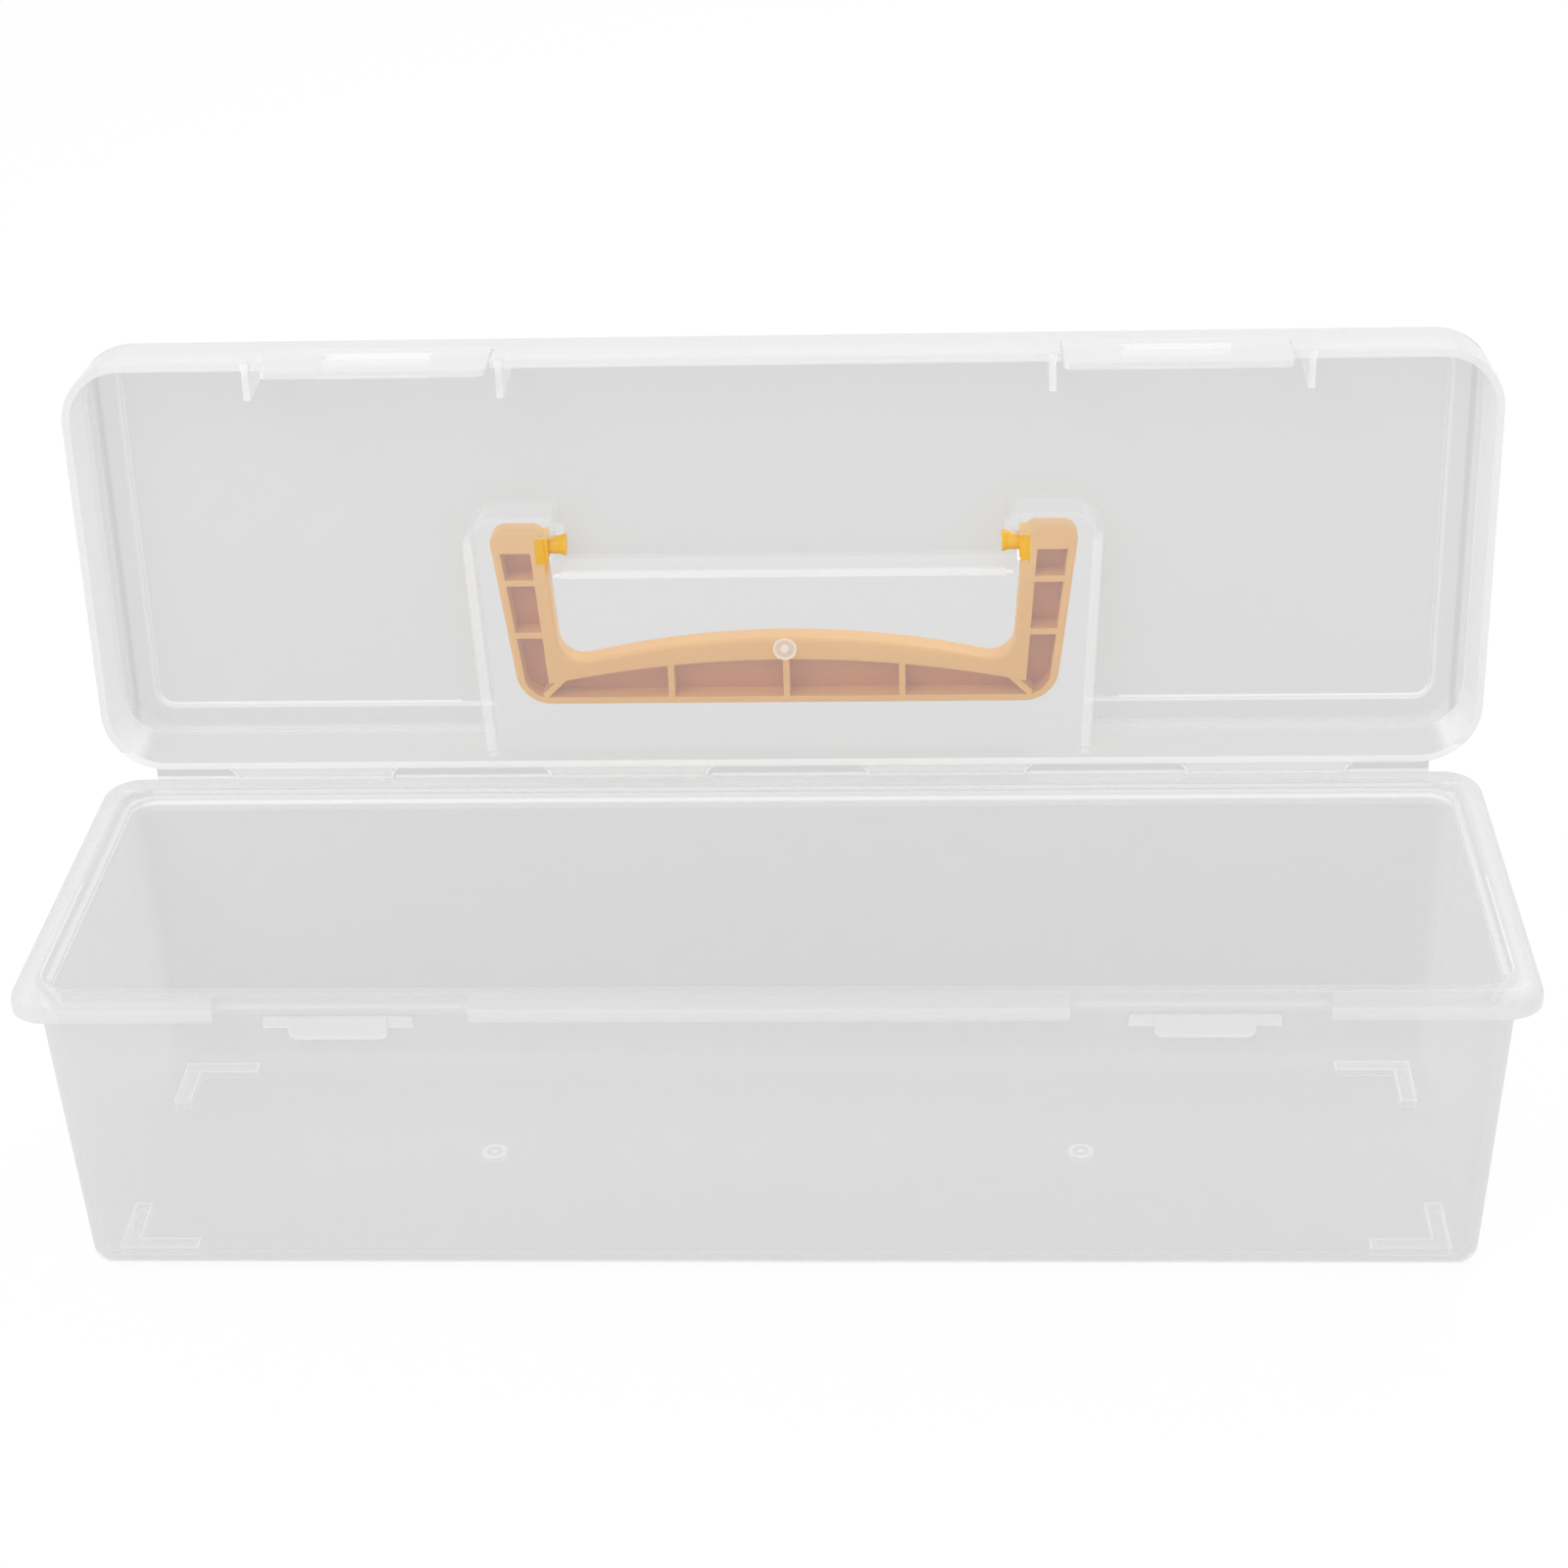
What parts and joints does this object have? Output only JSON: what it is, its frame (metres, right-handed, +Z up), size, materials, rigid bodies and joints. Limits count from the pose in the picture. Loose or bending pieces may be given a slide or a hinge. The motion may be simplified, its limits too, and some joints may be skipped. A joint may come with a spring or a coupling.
{
  "type": "art supply box",
  "caption": "Long clear moulded art supply box with a film-hinged lid, snap latch tongues on the lid's front edge and a folding ribbed carrying handle in a lid recess.",
  "frame": {"origin": "centre of the footprint of the box with its lid open, on the plane of the feet", "axes": "+X along the box to the right, +Y from the latch side to the hinge side, +Z up"},
  "size_m": [0.385, 0.1476, 0.2122],
  "materials": {
    "clear_shell": "clear, slightly milky moulded polypropylene",
    "handle_yellow": "golden yellow moulded plastic with a soft gloss"
  },
  "bodies": {
    "tub": {"tub": "clear_shell", "hinge_strap_1": "clear_shell", "hinge_strap_2": "clear_shell", "hinge_strap_3": "clear_shell", "hinge_strap_4": "clear_shell"},
    "lid": {"lid": "clear_shell"},
    "latch_left": {"latch_left": "clear_shell"},
    "latch_right": {"latch_right": "clear_shell"},
    "handle": {"handle": "handle_yellow"}
  },
  "joints": [
    {"name": "lid_hinge", "type": "hinge", "parent": "tub", "child": "lid", "pos_m": [0, 0.05067, 0.08915], "axis": [1, 0, 0], "range_deg": [-90, 90], "deforming": ["hinge_strap_1", "hinge_strap_2", "hinge_strap_3", "hinge_strap_4"]},
    {"name": "latch_left_flex", "type": "hinge", "parent": "lid", "child": "latch_left", "pos_m": [-0.106, 0.05983, 0.2114], "axis": [-1, 0, 0], "range_deg": [0, 10], "stiffness_Nm_per_rad": 1.2},
    {"name": "latch_right_flex", "type": "hinge", "parent": "lid", "child": "latch_right", "pos_m": [0.106, 0.05983, 0.2114], "axis": [-1, 0, 0], "range_deg": [0, 10], "stiffness_Nm_per_rad": 1.2},
    {"name": "handle_swing", "type": "hinge", "parent": "lid", "child": "handle", "pos_m": [0, 0.06853, 0.15115], "axis": [1, 0, 0], "range_deg": [0, 110]}
  ]
}
